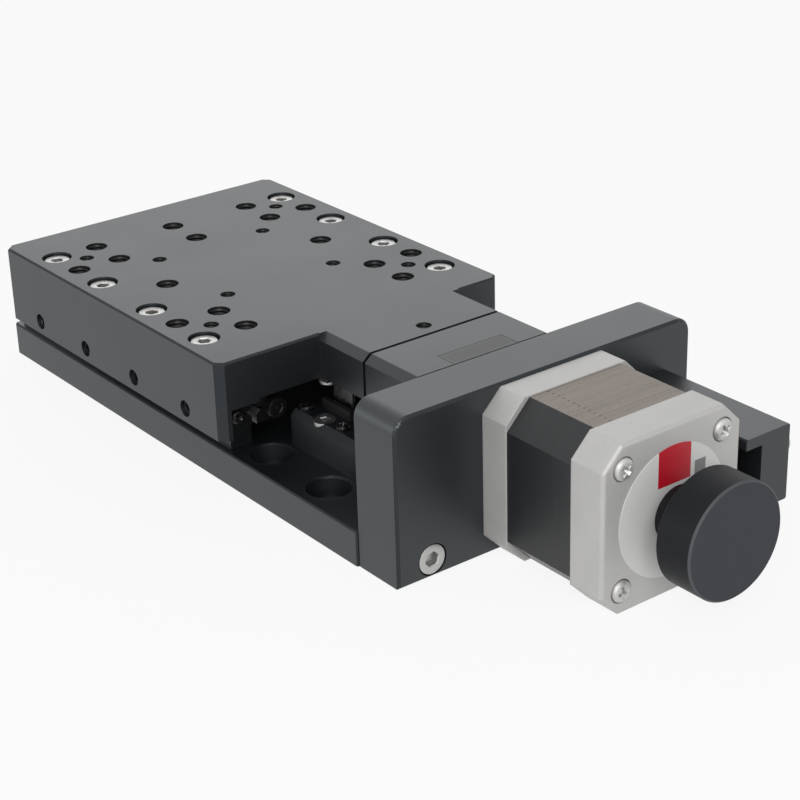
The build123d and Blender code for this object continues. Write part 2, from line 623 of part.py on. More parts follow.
def make_nut():
    nut = rod(NUT_BARREL_R, NUT_START, NUT_END)
    nut += rod(NUT_FLANGE_R, NUT_END - NUT_FLANGE_THICK, NUT_END)
    save("lead_nut", nut - rod(SCREW_R + NUT_PLAY, NUT_START, NUT_END))
    lug_end = LUG_START + LUG_THICK
    y1 = AXIS_Y + LUG_HALF_WIDTH
    y0 = AXIS_Y - LUG_HALF_WIDTH
    holder = block(LUG_START, lug_end, y0, y1, AXIS_Z - LUG_BELOW_AXIS, UNDERSIDE)
    pad_end = lug_end + PAD_OVERHANG
    holder += block(LUG_START - PAD_OVERHANG, pad_end, y0 - PAD_REACH, y1, UNDERSIDE - PAD_THICK, UNDERSIDE)
    holder -= rod(NUT_BARREL_R, LUG_START, lug_end)
    holder -= rod(NUT_FLANGE_R + NUT_FLANGE_PLAY, lug_end, pad_end)
    cap = facing("-z") * screw(CAP_M3, PAD_THICK + PAD_SCREW_BITE)
    screws = []
    for x, y in nut_pad_screw_places():
        holder -= post(CAP_M3["shank"] + THREAD_PLAY, x, y, UNDERSIDE - PAD_THICK, UNDERSIDE)
        screws.append(Pos(x, y, UNDERSIDE - PAD_THICK) * cap)
    save("nut_holder", holder)
    save("nut_holder_screws", *screws)


def motor_bolt_places():
    return [(AXIS_Y + i * BOLT_OFFSET, AXIS_Z + k * BOLT_OFFSET) for i in (-1, 1) for k in (-1, 1)]


def motor_square(x0, x1, inset, corner):
    """A square length of the motor with its long corners cut off."""
    half = MOTOR_SQUARE / 2 - inset
    body = block(x0, x1, AXIS_Y - half, AXIS_Y + half, AXIS_Z - half, AXIS_Z + half)
    return chamfer(body.edges().filter_by(Axis.X), corner)


def make_motor():
    front = motor_square(FLANGE_END, STATOR_START, 0, MOTOR_CORNER)
    front += rod(PILOT_R - THREAD_PLAY, FLANGE_END - PILOT_DEEP, FLANGE_END)
    front -= rod(BELL_HOLE_R, FLANGE_END - PILOT_DEEP, STATOR_START)
    front -= rod(BEARING_R + SEAT_PLAY, FLANGE_END + FRONT_SEAT_IN, STATOR_START)
    front -= rod(SHAFT_R + RING_RELIEF, FLANGE_END + FRONT_SEAT_IN - RELIEF_DEEP, STATOR_START)
    front -= rod(BELL_POCKET_R, STATOR_START - FRONT_POCKET_DEEP, STATOR_START)
    stator = motor_square(STATOR_START, STATOR_END, STATOR_INSET, STATOR_CORNER)
    stator -= rod(ROTOR_R + AIR_GAP, STATOR_START, STATOR_END)
    rear = motor_square(STATOR_END, MOTOR_END, 0, MOTOR_CORNER)
    rear = fillet(rear.faces().sort_by(Axis.X)[-1].edges(), REAR_BELL_ROUND)
    rear += rod(REAR_BOSS_R, MOTOR_END, MOTOR_END + REAR_BOSS_HIGH)
    rear -= rod(BELL_HOLE_R, STATOR_END, MOTOR_END + REAR_BOSS_HIGH)
    rear -= rod(BEARING_R + SEAT_PLAY, STATOR_END, MOTOR_END - REAR_SEAT_IN)
    rear -= rod(SHAFT_R + RING_RELIEF, STATOR_END, MOTOR_END - REAR_SEAT_IN + RELIEF_DEEP)
    rear -= rod(BELL_POCKET_R, STATOR_END, STATOR_END + REAR_POCKET_DEEP)
    seat = MOTOR_END - MOTOR_BOLT_SINK
    length = seat - FLANGE_END + MOTOR_BOLT_REACH
    bolts = []
    for y, z in motor_bolt_places():
        hole = rod(PAN_M3["shank"] + THREAD_PLAY, FLANGE_END, MOTOR_END, y, z)
        front -= hole
        stator -= hole
        rear = rear - hole - rod(PAN_M3["head"] + SNUG_BORE_PLAY, seat, MOTOR_END, y, z)
        bolts.append(Pos(seat, y, z) * facing("+x") * screw(PAN_M3, length))
    save("motor_front_bell", front)
    save("motor_stator", stator)
    save("motor_rear_bell", rear)
    save("motor_bolts", *bolts)
    save("motor_label", tube(LABEL_R, REAR_BOSS_R + LABEL_THICK, MOTOR_END, MOTOR_END + LABEL_THICK))


def make_rotor():
    save("motor_shaft", rod(SHAFT_R, SHAFT_START, KNOB_START + SHAFT_IN_KNOB))
    save("rotor_core", tube(ROTOR_R, SHAFT_R, STATOR_START - ROTOR_MARGIN, STATOR_END + ROTOR_MARGIN))
    knob = rod(KNOB_R, KNOB_START, KNOB_START + KNOB_LENGTH)
    knob = chamfer(knob.edges().filter_by(GeomType.CIRCLE), KNOB_EDGE)
    knob += rod(KNOB_HUB_R, KNOB_HUB_START, KNOB_START)
    knob -= rod(SHAFT_R, KNOB_HUB_START, KNOB_START + SHAFT_IN_KNOB)
    middle = (KNOB_HUB_START + KNOB_START) / 2
    grub_hole = post(KNOB_GRUB_R, middle, AXIS_Y, AXIS_Z + SHAFT_R, AXIS_Z + KNOB_HUB_R)
    save("knob", knob - grub_hole)
    top = AXIS_Z + KNOB_HUB_R - KNOB_GRUB_SINK
    save("knob_set_screw", post(KNOB_GRUB_R - THREAD_PLAY, middle, AXIS_Y, AXIS_Z + SHAFT_R, top))


def box_screw_places():
    y = (SOCKET_RECESS_Y1 + BOX_Y1) / 2
    return [(y, BOX_Z0 + BOX_SCREW_INSET), (y, BOX_Z1 - BOX_SCREW_INSET)]


def make_connector_box():
    end = FLANGE_END + BOX_LENGTH
    shell = block(FLANGE_END, end, BOX_Y0, BOX_Y1, BOX_Z0, BOX_Z1)
    shell = chamfer(shell.edges().filter_by(Axis.X), BOX_EDGE)
    front = end - SOCKET_RECESS
    back = front - SOCKET_LENGTH
    hollow = block(FLANGE_END + BOX_FLANGE_WALL, back, BOX_Y0 + BOX_WALL, BOX_Y1 - BOX_WALL,
                   BOX_Z0 + BOX_WALL, BOX_Z1 - BOX_WALL)
    recess = block(back, end, BOX_Y0, SOCKET_RECESS_Y1, SOCKET_RECESS_Z0, SOCKET_RECESS_Z1)
    shell = shell - hollow - recess
    for y, z in box_screw_places():
        bite = FLANGE_END + BOX_SCREW_BITE + TAP_SPARE
        shell -= rod(CAP_M3["shank"] + THREAD_PLAY, FLANGE_END, bite, y, z)
    cover_screws = []
    for x in (FLANGE_END + SIDE_SCREW_IN, end - SIDE_SCREW_OUT):
        z = SIDE_SCREW_Z
        depth = COVER_SCREW_BITE + TAP_SPARE
        hole = Cylinder(PAN_M3["shank"] + THREAD_PLAY, depth)
        shell -= Pos(x, BOX_Y1 - depth / 2, z) * Rot(90, 0, 0) * hole
        cover_screws.append(Pos(x, BOX_Y1, z) * facing("+y") * screw(PAN_M3, COVER_SCREW_BITE))
    save("connector_box", shell)
    save("connector_box_side_screws", *cover_screws)
    seat = FLANGE_START + CAP_M3["height"] + SCREW_END_GAP
    cap = facing("-x") * screw(CAP_M3, FLANGE_END + BOX_SCREW_BITE - seat)
    save("connector_box_mount_screws", *[Pos(seat, y, z) * cap for y, z in box_screw_places()])

    header = block(back, front, BOX_Y0, SOCKET_RECESS_Y1, SOCKET_RECESS_Z0, SOCKET_RECESS_Z1)
    header -= block(front - SOCKET_DEPTH, front, BOX_Y0 + SOCKET_WALL, SOCKET_RECESS_Y1 - SOCKET_WALL,
                    SOCKET_RECESS_Z0 + SOCKET_WALL, SOCKET_RECESS_Z1 - SOCKET_WALL)
    save("connector_socket", header)
    floor = front - SOCKET_DEPTH
    mid_y = (BOX_Y0 + SOCKET_RECESS_Y1) / 2
    mid_z = (SOCKET_RECESS_Z0 + SOCKET_RECESS_Z1) / 2
    pins = []
    for column in (-0.5, 0.5):
        for row in range(PIN_ROWS):
            place = Pos(floor + PIN_LENGTH / 2, mid_y + column * PIN_PITCH,
                        mid_z + (row - (PIN_ROWS - 1) / 2) * PIN_PITCH)
            pins.append(place * Box(PIN_LENGTH, PIN_SIDE, PIN_SIDE))
    save("connector_pins", *pins)


def limit_screw_places():
    return [(LIMIT_SCREW_X, LIMIT_SCREW_Y), (LIMIT_SCREW_X - TRAVEL, LIMIT_SCREW_Y)]


def flag_screw_place():
    return (LIMIT_SCREW_X, LIMIT_BLOCK_Y1 - FLAG_SCREW_IN)


def make_limits():
    """Two slotted optical sensors beside the lead screw and the flag that passes through them."""
    half_rear = REAR_BLOCK_LENGTH / 2
    rear_x = LIMIT_SCREW_X - TRAVEL
    spans = {"front": (LIMIT_BLOCK_START, NECK_START), "rear": (rear_x - half_rear, rear_x + half_rear)}
    seat = LIMIT_BLOCK_TOP - LIMIT_SCREW_SINK
    low_head = dict(CAP_M4, head=CAP_M4["head"] - LIMIT_HEAD_TRIM)
    caps = []
    small = []
    for (name, (x0, x1)), (x, y) in zip(spans.items(), limit_screw_places()):
        body = block(x0, x1, LIMIT_BLOCK_Y0, LIMIT_BLOCK_Y1, BASE_THICK, LIMIT_BLOCK_TOP)
        long_edge = body.edges().filter_by(Axis.X).group_by(Axis.Z)[-1].sort_by(Axis.Y)[0]
        body = chamfer(long_edge, LIMIT_BLOCK_BEVEL)
        body -= post(CAP_M4["shank"] + THREAD_PLAY, x, y, BASE_THICK, seat)
        body -= post(low_head["head"] + 2 * THREAD_PLAY, x, y, seat, LIMIT_BLOCK_TOP)
        for step in (-SMALL_SCREW_STEP, SMALL_SCREW_STEP):
            bite = LIMIT_BLOCK_TOP - SMALL_SCREW_LENGTH
            body -= post(PAN_M2["shank"] + THREAD_PLAY, x + step, y, bite, LIMIT_BLOCK_TOP)
            small.append(Pos(x + step, y, LIMIT_BLOCK_TOP) * screw(PAN_M2, SMALL_SCREW_LENGTH))
        save(f"limit_block_{name}", body)
        caps.append(Pos(x, y, seat) * screw(low_head, seat - BASE_THICK + SCREW_BITE))
        sensor = block(x - SENSOR_LENGTH / 2, x + SENSOR_LENGTH / 2, LIMIT_BLOCK_Y1,
                       LIMIT_BLOCK_Y1 + SENSOR_DEEP, SENSOR_Z0, SENSOR_Z1)
        slot_y = LIMIT_BLOCK_Y1 + SENSOR_DEEP / 2
        sensor -= block(x - SENSOR_LENGTH, x + SENSOR_LENGTH, slot_y - SENSOR_SLOT / 2,
                        slot_y + SENSOR_SLOT / 2, SENSOR_Z0 + SENSOR_FLOOR, SENSOR_Z1)
        save(f"limit_sensor_{name}", sensor)
    save("limit_block_screws", *caps)
    save("limit_cover_screws", *small)
    x = LIMIT_SCREW_X
    slot_y = LIMIT_BLOCK_Y1 + SENSOR_DEEP / 2
    flag = block(x - FLAG_LENGTH / 2, x + FLAG_LENGTH / 2, slot_y - FLAG_THICK / 2, slot_y + FLAG_THICK / 2,
                 FLAG_TIP_Z, UNDERSIDE)
    flag += block(x - FLAG_LENGTH / 2, x + FLAG_LENGTH / 2, slot_y - FLAG_FOOT, slot_y + FLAG_THICK / 2,
                  UNDERSIDE - FLAG_FOOT_THICK, UNDERSIDE)
    hole_x, hole_y = flag_screw_place()
    flag -= post(CAP_M3["shank"] + THREAD_PLAY, hole_x, hole_y, UNDERSIDE - FLAG_FOOT_THICK, UNDERSIDE)
    save("limit_flag", flag)
    low_cap = screw(dict(CAP_M3, height=FLAG_HEAD), FLAG_SCREW_LENGTH)
    save("limit_flag_screw", Pos(hole_x, hole_y, UNDERSIDE - FLAG_FOOT_THICK) * facing("-z") * low_cap)


os.makedirs("parts", exist_ok=True)
make_table()
make_table_fasteners()
make_outer_rails()
make_inner_rails()
make_cages()
make_base()
make_bracket()
make_bearings()
make_end_block()
make_lead_screw()
make_coupling()
make_nut()
make_motor()
make_rotor()
make_connector_box()
make_limits()
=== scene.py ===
import json
import math

import bmesh
import bpy
from mathutils import Matrix, Vector


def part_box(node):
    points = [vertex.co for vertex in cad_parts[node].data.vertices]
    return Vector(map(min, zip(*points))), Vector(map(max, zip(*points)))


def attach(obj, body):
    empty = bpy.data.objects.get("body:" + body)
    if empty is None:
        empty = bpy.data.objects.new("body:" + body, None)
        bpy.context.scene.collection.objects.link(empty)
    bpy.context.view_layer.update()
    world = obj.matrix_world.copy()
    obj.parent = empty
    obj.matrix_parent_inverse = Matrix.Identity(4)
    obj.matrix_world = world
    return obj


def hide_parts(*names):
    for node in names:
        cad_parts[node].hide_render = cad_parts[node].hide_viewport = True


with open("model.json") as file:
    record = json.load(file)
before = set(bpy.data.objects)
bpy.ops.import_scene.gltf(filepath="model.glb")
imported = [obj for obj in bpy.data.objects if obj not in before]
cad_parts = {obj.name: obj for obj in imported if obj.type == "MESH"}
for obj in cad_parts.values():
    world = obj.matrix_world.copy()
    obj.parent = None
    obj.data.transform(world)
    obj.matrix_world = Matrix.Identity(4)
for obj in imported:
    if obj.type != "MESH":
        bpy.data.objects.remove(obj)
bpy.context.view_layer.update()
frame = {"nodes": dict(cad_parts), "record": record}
print("frame loaded:", len(frame["nodes"]), "nodes")

mm = 0.001
driveAxis = {"y": 16.27 * mm, "z": 21.9 * mm}  # lead screw, motor and knob turn round it


class Socket:
    # one output of a shader node; arithmetic on it adds Math nodes
    def __init__(self, finish, out):
        self.finish = finish
        self.out = out

    def math(self, operation, first, second=0.0):
        return self.finish.node("ShaderNodeMath", {"operation": operation}, {0: first, 1: second})

    def __add__(self, other):
        return self.math("ADD", self, other)

    def __radd__(self, other):
        return self.math("ADD", other, self)

    def __sub__(self, other):
        return self.math("SUBTRACT", self, other)

    def __rsub__(self, other):
        return self.math("SUBTRACT", other, self)

    def __mul__(self, other):
        return self.math("MULTIPLY", self, other)

    def __rmul__(self, other):
        return self.math("MULTIPLY", other, self)

    def __truediv__(self, other):
        return self.math("DIVIDE", self, other)

    def __pow__(self, other):
        return self.math("POWER", self, other)

    def __gt__(self, other):
        return self.math("GREATER_THAN", self, other)

    def __lt__(self, other):
        return self.math("LESS_THAN", self, other)

    def __abs__(self):
        return self.math("ABSOLUTE", self)

    def floor(self):
        return self.math("FLOOR", self)

    def fraction(self):
        return self.math("FRACT", self)

    def sine(self):
        return self.math("SINE", self)

    def larger(self, other):
        return self.math("MAXIMUM", self, other)

    def smaller(self, other):
        return self.math("MINIMUM", self, other)

    def within(self, low, high):
        return (self > low) * (self < high)

    def swing(self, amount):
        # a noise of 0 to 1 becomes a change of that amount, as much down as up
        return (self - 0.5) * amount


bevelSamples = 4


class Finish:
    # a material, or a world, while its nodes are being wired
    def __init__(self, owner):
        owner.use_nodes = True
        self.owner = owner
        self.tree = owner.node_tree
        self.tree.nodes.clear()

    def node(self, kind, settings=None, inputs=None, out=0):
        made = self.tree.nodes.new(kind)
        for key, value in (settings or {}).items():
            setattr(made, key, value)
        for key, value in (inputs or {}).items():
            if isinstance(value, Socket):
                self.tree.links.new(value.out, made.inputs[key])
            else:
                made.inputs[key].default_value = value
        return Socket(self, made.outputs[out]) if len(made.outputs) else None

    def place(self):
        # the rest frame's own coordinates, in metres, which ride with the piece
        return self.node("ShaderNodeTexCoord", out="Object")

    def axes(self, vector):
        return [self.node("ShaderNodeSeparateXYZ", inputs={0: vector}, out=i) for i in range(3)]

    def facing(self):
        # which way the flat face looks, along x, y and z
        return self.axes(self.node("ShaderNodeNewGeometry", out="True Normal"))

    def noise(self, scale, detail=2.0, roughness=0.5, vector=None):
        return self.node("ShaderNodeTexNoise", inputs={"Vector": vector or self.place(), "Scale": scale,
                                                       "Detail": detail, "Roughness": roughness})

    def stretched(self, x, y, z):
        return self.node("ShaderNodeVectorMath", {"operation": "MULTIPLY"}, {0: self.place(), 1: (x, y, z)})

    def mix(self, factor, first, second):
        return self.node("ShaderNodeMix", {"data_type": "RGBA"}, {"Factor": factor, 6: first, 7: second}, 2)

    def clamp(self, value):
        return self.node("ShaderNodeClamp", inputs={"Value": value})

    def softEdge(self, radius):
        return self.node("ShaderNodeBevel", {"samples": bevelSamples}, {"Radius": radius})

    def bump(self, height, look):
        # the relief and the edge radius come from the finish's own dictionary
        edge = self.softEdge(look["edge"])
        return self.node("ShaderNodeBump", inputs={"Height": height, "Strength": look["strong"],
                                                   "Distance": look["deep"], "Normal": edge})

    def surface(self, **inputs):
        shader = self.node("ShaderNodeBsdfPrincipled",
                           inputs={key.replace("_", " "): value for key, value in inputs.items()})
        self.node("ShaderNodeOutputMaterial", inputs={"Surface": shader})
        return self.owner


def newFinish(name):
    return Finish(bpy.data.materials.new(name))


def rgb(red, green, blue, share=1.0):
    return (red * share, green * share, blue * share, 1)


# in the finishes below a noise is its scale, detail and roughness; strong and deep are the bump's strength
# and distance; a name with By in it says how far the noise named after it moves the value named before it
anodised = {"dark": (0.0045, 0.0055, 0.0065), "light": (0.0095, 0.011, 0.013), "toneByCloud": 0.7,
            "toneByGrain": 0.5, "toneDown": 0.1, "cloud": (35, 3), "grain": (5200, 1), "rough": 0.42,
            "roughByGrain": 0.16, "roughByCloud": 0.08, "ior": 1.62, "sheen": (0.9, 0.97, 1.0),
            "chamfer": (0.69, 0.722), "chamferRough": 0.85, "strong": 0.22, "deep": 0.02 * mm,
            "edge": 0.12 * mm}


def blackAnodised():
    # blasted, then anodised black: fine grain and faint clouds
    f = newFinish("blackAnodised")
    cloud = f.noise(*anodised["cloud"])
    grain = f.noise(*anodised["grain"])
    share = f.clamp(cloud * anodised["toneByCloud"] + grain * anodised["toneByGrain"] - anodised["toneDown"])
    tone = f.mix(share, rgb(*anodised["dark"]), rgb(*anodised["light"]))
    rough = anodised["rough"] + grain.swing(anodised["roughByGrain"]) + cloud.swing(anodised["roughByCloud"])
    # the milled chamfers are duller, so they shine less than the faces
    alongX, alongY, alongZ = [abs(axis) for axis in f.facing()]
    chamfer = alongX.larger(alongY).larger(alongZ).within(*anodised["chamfer"])
    rough = rough + chamfer * (anodised["chamferRough"] - rough)
    return f.surface(Base_Color=tone, Roughness=rough, IOR=anodised["ior"], Normal=f.bump(grain, anodised),
                     Specular_Tint=rgb(*anodised["sheen"]))


stainless = {"colour": (0.54, 0.538, 0.53), "dull": 0.8, "speck": (2600, 3), "rough": 0.42,
             "roughBySpeck": 0.2, "strong": 0.15, "deep": 0.02 * mm, "edge": 0.08 * mm}


def stainlessScrews():
    f = newFinish("stainlessScrews")
    speck = f.noise(*stainless["speck"])
    tone = f.mix(speck, rgb(*stainless["colour"], stainless["dull"]), rgb(*stainless["colour"]))
    rough = stainless["rough"] + speck.swing(stainless["roughBySpeck"])
    return f.surface(Base_Color=tone, Metallic=1.0, Roughness=rough, Normal=f.bump(speck, stainless))


blackOxide = {"dark": (0.01, 0.01, 0.011), "worn": (0.09, 0.09, 0.093), "wear": 2.5, "speck": (2400, 3),
              "metal": 0.8, "rough": 0.26, "roughBySpeck": 0.15, "strong": 0.15, "deep": 0.02 * mm,
              "edge": 0.08 * mm}


def blackSteelScrews():
    # black oxide, worn grey in small specks
    f = newFinish("blackSteelScrews")
    speck = f.noise(*blackOxide["speck"])
    tone = f.mix(speck ** blackOxide["wear"], rgb(*blackOxide["dark"]), rgb(*blackOxide["worn"]))
    rough = blackOxide["rough"] + speck * blackOxide["roughBySpeck"]
    return f.surface(Base_Color=tone, Metallic=blackOxide["metal"], Roughness=rough,
                     Normal=f.bump(speck, blackOxide))


rail = {"dark": (0.02, 0.02, 0.021), "light": (0.045, 0.046, 0.048), "race": (0.34, 0.34, 0.35),
        "slant": (0.5, 0.9), "streak": (900, 3), "stretch": (0.05, 1, 1), "metal": 0.9, "rough": 0.3,
        "roughByStreak": 0.16, "strong": 0.12, "deep": 0.01 * mm, "edge": 0.1 * mm}


def railSteel():
    # blackened bars, streaked along their length; only the ground V races are bright
    f = newFinish("railSteel")
    streak = f.noise(*rail["streak"], vector=f.stretched(*rail["stretch"]))
    _, across, up = f.facing()
    slanted = abs(across).within(*rail["slant"]) * abs(up).within(*rail["slant"])
    black = f.mix(streak, rgb(*rail["dark"]), rgb(*rail["light"]))
    tone = f.mix(slanted, black, rgb(*rail["race"]))
    rough = rail["rough"] + streak * rail["roughByStreak"]
    return f.surface(Base_Color=tone, Metallic=rail["metal"], Roughness=rough, Normal=f.bump(streak, rail))


metal = {"speck": (1500, 3), "roughBySpeck": 0.2, "strong": 0.15, "deep": 0.02 * mm, "edge": 0.1 * mm}


def plainMetal(name, dark, light, rough):
    f = newFinish(name)
    speck = f.noise(*metal["speck"])
    return f.surface(Base_Color=f.mix(speck, rgb(*dark), rgb(*light)), Metallic=1.0,
                     Roughness=rough + speck.swing(metal["roughBySpeck"]), Normal=f.bump(speck, metal))


plastic = {"grain": (2800, 2), "roughByGrain": 0.15, "strong": 0.2, "deep": 0.02 * mm, "edge": 0.1 * mm}


def plainPlastic(name, dark, light, rough):
    f = newFinish(name)
    grain = f.noise(*plastic["grain"])
    return f.surface(Base_Color=f.mix(grain, rgb(*dark), rgb(*light)),
                     Roughness=rough + grain.swing(plastic["roughByGrain"]), Normal=f.bump(grain, plastic))


casting = {"dark": (0.44, 0.436, 0.428), "light": (0.58, 0.575, 0.565), "toneByCloud": 0.6,
           "toneByGrain": 0.8, "toneDown": 0.2, "cloud": (120, 4, 0.6), "grain": (2400, 3, 0.65),
           "metal": 0.3, "rough": 0.55, "roughByGrain": 0.2, "strong": 0.4, "deep": 0.05 * mm,
           "edge": 0.45 * mm}


def castAluminium():
    # die cast and blasted: warm grey, cloudy, with rounded edges
    f = newFinish("castAluminium")
    cloud = f.noise(*casting["cloud"])
    grain = f.noise(*casting["grain"])
    share = f.clamp(cloud * casting["toneByCloud"] + grain * casting["toneByGrain"] - casting["toneDown"])
    tone = f.mix(share, rgb(*casting["dark"]), rgb(*casting["light"]))
    rough = casting["rough"] + grain.swing(casting["roughByGrain"])
    return f.surface(Base_Color=tone, Metallic=casting["metal"], Roughness=rough,
                     Normal=f.bump(grain, casting))


stack = {"sheet": 0.5 * mm, "gapFrom": 0.8, "paintedLitSteel": (0.27, 0.235, 0.205), "paintedLitSteelDark": (0.1, 0.09, 0.08),
         "paint": (0.006, 0.0068, 0.0078), "paintLight": (0.012, 0.0135, 0.0152), "paintedLitFacing": 0.9,
         "tick": 1.75 * mm, "tickLong": 0.3, "tickAside": 9.0 * mm, "tickHalf": 0.35 * mm,
         "grain": (1500, 4, 0.75), "scratch": (1100, 4, 0.7), "stretch": (1.6, 0.25, 1), "metal": 0.45,
         "rough": 0.4, "paintedLitRougher": 0.15, "strong": 0.5, "deep": 0.04 * mm, "edge": 0.2 * mm,
         "wornBy": {"grain": 0.9, "scratch": 0.3, "sheet": 0.2, "gap": 0.2, "tick": 0.9},
         "paintBy": {"sheet": 0.5, "scratch": 0.3}, "heightBy": {"sheet": 0.3, "scratch": 0.25}}


def statorStack():
    # thin steel sheets pressed together along the shaft, painted at the sides; above and below they get a
    # lighter brownish steel colour, which is painted light from above
    f = newFinish("statorStack")
    x, y, _ = f.axes(f.place())
    grain = f.noise(*stack["grain"])
    sheet = x / stack["sheet"]
    gap = sheet.fraction() > stack["gapFrom"]
    each = f.node("ShaderNodeTexWhiteNoise", {"noise_dimensions": "1D"}, {"W": sheet.floor()})
    scratch = f.noise(*stack["scratch"], f.stretched(*stack["stretch"]))
    # faces looking up and down take the lighter steel colour: painted light, as the light falls from above
    paintedLitSteel = abs(f.facing()[2]) > stack["paintedLitFacing"]
    # a row of small weld marks along the faces that look up and down
    beside = abs(y - driveAxis["y"] + stack["tickAside"]) < stack["tickHalf"]
    tick = beside * ((x / stack["tick"]).fraction() < stack["tickLong"])
    by = stack["wornBy"]
    worn = f.clamp(grain * by["grain"] + scratch * by["scratch"] + each * by["sheet"] - gap * by["gap"]
                   - tick * by["tick"])
    steel = f.mix(worn, rgb(*stack["paintedLitSteelDark"]), rgb(*stack["paintedLitSteel"]))
    by = stack["paintBy"]
    share = each * by["sheet"] + scratch * by["scratch"]
    paint = f.mix(share, rgb(*stack["paint"]), rgb(*stack["paintLight"]))
    by = stack["heightBy"]
    height = each * by["sheet"] - gap + scratch * by["scratch"] - tick
    return f.surface(Base_Color=f.mix(paintedLitSteel, paint, steel), Metallic=paintedLitSteel * stack["metal"],
                     Roughness=stack["rough"] + paintedLitSteel * stack["paintedLitRougher"], Normal=f.bump(height, stack))


# the blocks' spans run from left to right, then from the foot up; the red one goes on to the film's edge
label = {"film": (0.72, 0.72, 0.705), "filmDull": 0.94, "red": (0.5, 0.004, 0.018), "grey": (0.2, 0.2, 0.2),
         "redSpan": (11.4 * mm, 21.6 * mm, 28.8 * mm),
         "greySpan": (22.9 * mm, 26.4 * mm, 28.5 * mm, 32.4 * mm), "fibre": (1800, 3), "rough": 0.38,
         "roughByFibre": 0.1, "strong": 0.1, "deep": 0.02 * mm, "edge": 0.1 * mm}


def motorLabelFilm():
    # a bare film with one block of colour and one of grey; nothing is written on it
    f = newFinish("motorLabelFilm")
    _, y, z = f.axes(f.place())
    fibre = f.noise(*label["fibre"])
    left, right, foot = label["redSpan"]
    red = y.within(left, right) * (z > foot)
    left, right, foot, top = label["greySpan"]
    grey = y.within(left, right) * z.within(foot, top)
    film = f.mix(fibre, rgb(*label["film"], label["filmDull"]), rgb(*label["film"]))
    tone = f.mix(grey, f.mix(red, film, rgb(*label["red"])), rgb(*label["grey"]))
    return f.surface(Base_Color=tone, Roughness=label["rough"] + fibre * label["roughByFibre"],
                     Normal=f.bump(fibre, label))


plate = {"ground": (0.02, 0.021, 0.022), "paler": 1.5, "line": (0.07, 0.072, 0.075), "lineIn": 0.55 * mm,
         "lineWide": 0.22 * mm, "grain": (3500, 2), "rough": 0.42, "roughByGrain": 0.1, "strong": 0.15,
         "deep": 0.01 * mm, "edge": 0.05 * mm}


def namePlateFilm():
    # a bare plate: satin black with a thin lighter line round it, 0.55 mm in from its edge
    f = newFinish("namePlateFilm")
    low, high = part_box("name_plate")
    middle = (low + high) / 2
    x, y, _ = f.axes(f.place())
    fromEdgeX = (high.x - middle.x) - abs(x - middle.x)
    fromEdgeY = (high.y - middle.y) - abs(y - middle.y)
    line = fromEdgeX.smaller(fromEdgeY).within(plate["lineIn"], plate["lineIn"] + plate["lineWide"])
    grain = f.noise(*plate["grain"])
    ground = f.mix(grain, rgb(*plate["ground"]), rgb(*plate["ground"], plate["paler"]))
    return f.surface(Base_Color=f.mix(line, ground, rgb(*plate["line"])),
                     Roughness=plate["rough"] + grain * plate["roughByGrain"], Normal=f.bump(grain, plate))


# the rim and face From numbers say how far along the shaft a face looks to count as the knob's edge or its
# face; the edge gets a painted highlight and the face a lighter colour, painted light
knobTurning = {"dark": (0.008, 0.0085, 0.01), "light": (0.015, 0.016, 0.018), "face": (0.045, 0.049, 0.056),
               "paintedRimHighlight": (0.085, 0.09, 0.098), "paintedRimHighlightFrom": 0.5, "faceFrom": 0.9, "ring": 42000,
               "grain": (4200, 2), "rough": 0.5, "roughByGrain": 0.15, "heightByGrain": 0.7,
               "heightByRing": 0.1, "ior": 1.22, "strong": 0.2, "deep": 0.02 * mm, "edge": 0.1 * mm}


def knobAnodised():
    # turned, so fine rings run round the axis
    f = newFinish("knobAnodised")
    _, y, z = f.axes(f.place())
    dy, dz = y - driveAxis["y"], z - driveAxis["z"]
    ring = ((dy * dy + dz * dz) ** 0.5 * knobTurning["ring"]).sine()
    grain = f.noise(*knobTurning["grain"])
    backwards = f.facing()[0]
    side = f.mix(grain, rgb(*knobTurning["dark"]), rgb(*knobTurning["light"]))
    # the face looking along the shaft is coloured lighter than the side: painted light
    tone = f.mix(backwards > knobTurning["faceFrom"], side, rgb(*knobTurning["face"]))
    # the chamfered rim between side and face gets a lighter colour: a painted highlight
    paintedRimHighlight = backwards.within(knobTurning["paintedRimHighlightFrom"], knobTurning["faceFrom"])
    tone = f.mix(paintedRimHighlight, tone, rgb(*knobTurning["paintedRimHighlight"]))
    height = grain * knobTurning["heightByGrain"] + ring * knobTurning["heightByRing"]
    rough = knobTurning["rough"] + grain.swing(knobTurning["roughByGrain"])
    return f.surface(Base_Color=tone, Roughness=rough, IOR=knobTurning["ior"],
                     Normal=f.bump(height, knobTurning))


